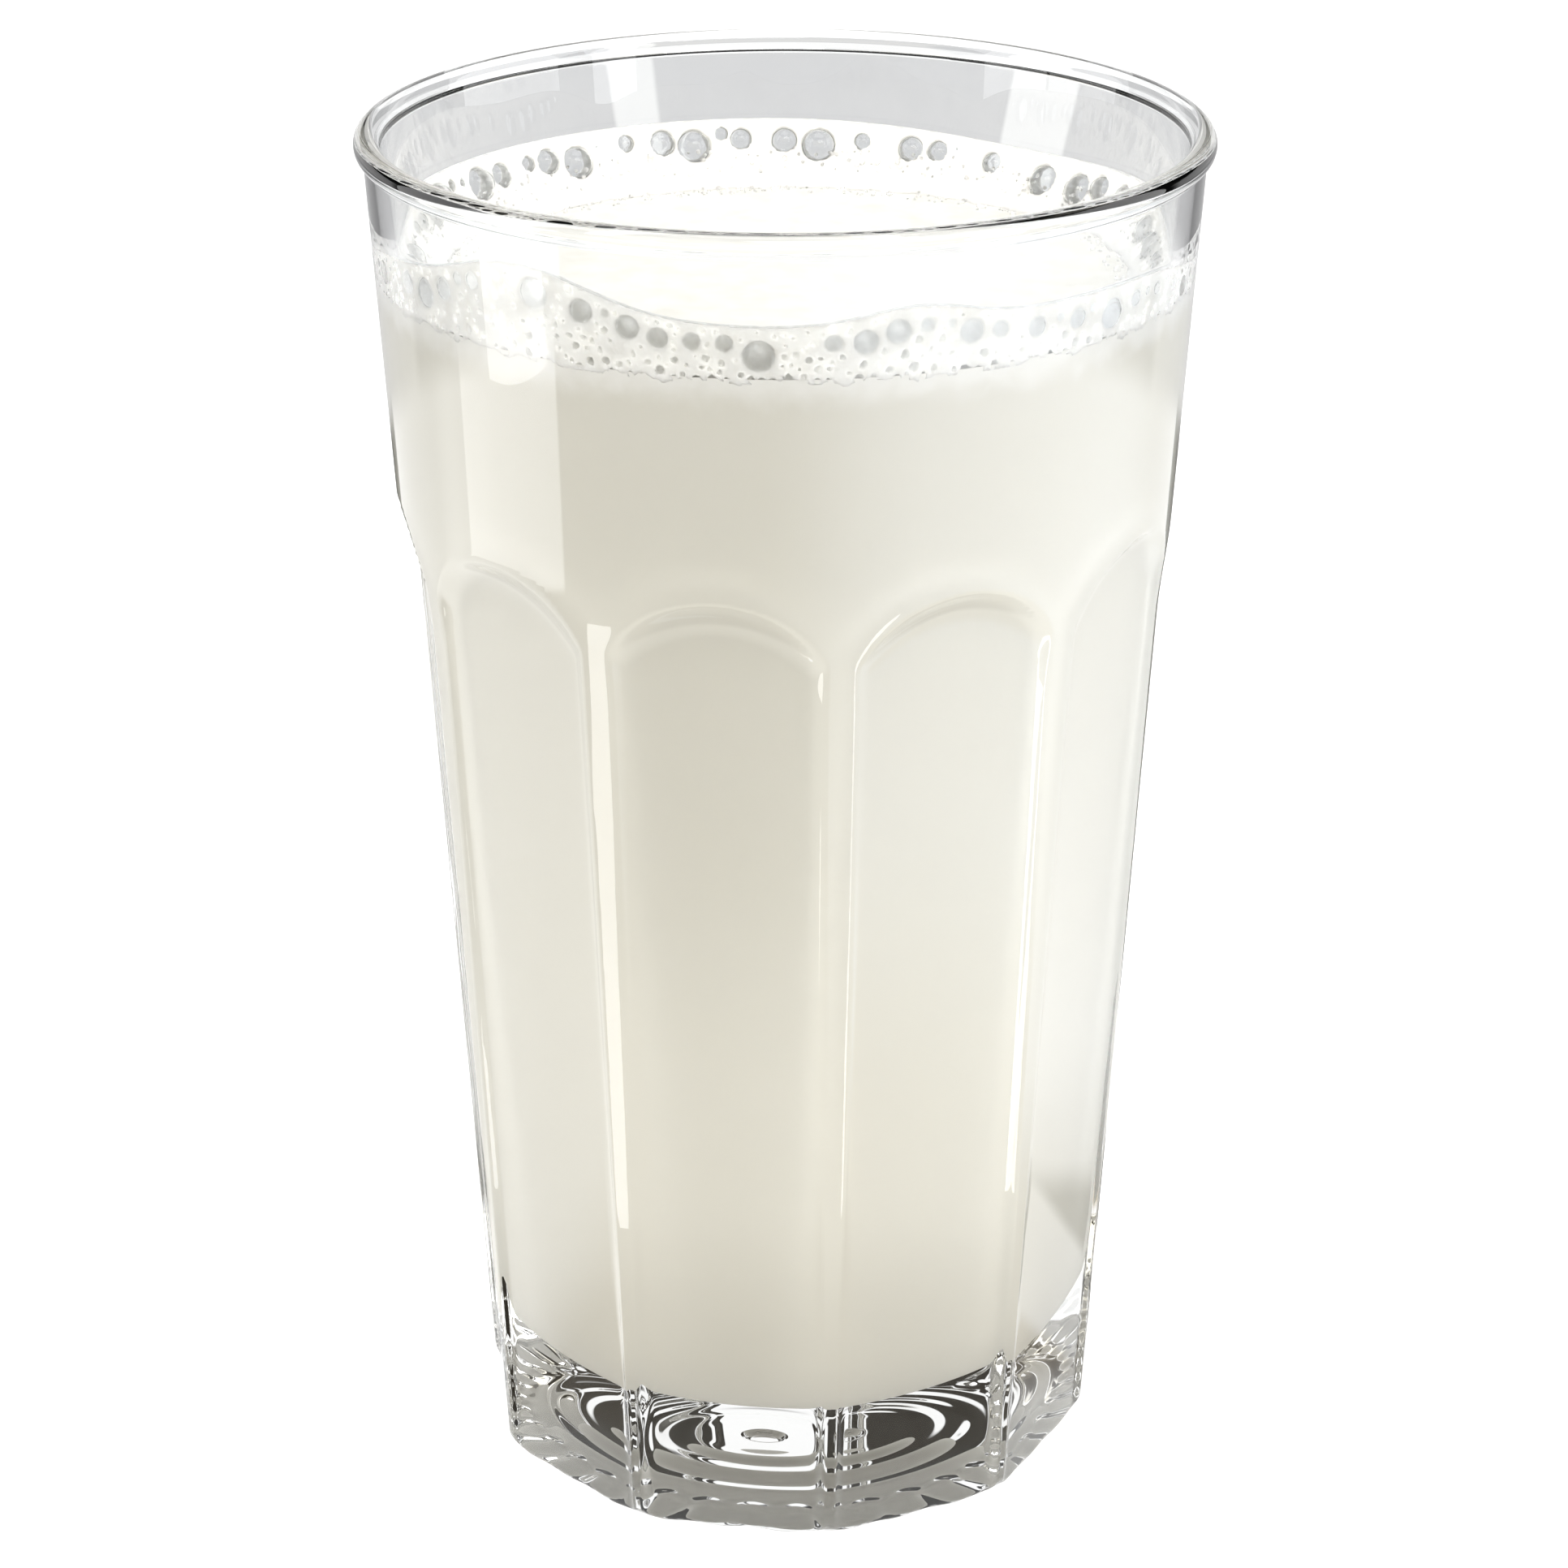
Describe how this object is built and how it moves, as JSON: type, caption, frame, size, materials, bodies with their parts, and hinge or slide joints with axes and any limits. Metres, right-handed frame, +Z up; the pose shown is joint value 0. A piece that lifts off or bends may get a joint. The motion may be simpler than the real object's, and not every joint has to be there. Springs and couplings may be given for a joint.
{
  "type": "glass of milk",
  "caption": "Tall pressed-glass tumbler with flat arched panels and a rounded rim, filled with milk that carries a ring of froth along the wall.",
  "frame": {"origin": "centre of the foot, on the surface that the glass stands on", "axes": "+Z up along the glass's axis, -Y towards the side shown in front, +X to the right"},
  "size_m": [0.0836, 0.0836, 0.14],
  "materials": {
    "clear_glass": "polished pressed glass, colourless",
    "milk": "ivory white liquid with a wet surface",
    "froth": "white froth of fine bubbles"
  },
  "bodies": {
    "root": {"tumbler": "clear_glass", "milk": "milk", "froth": "froth"}
  },
  "joints": []
}
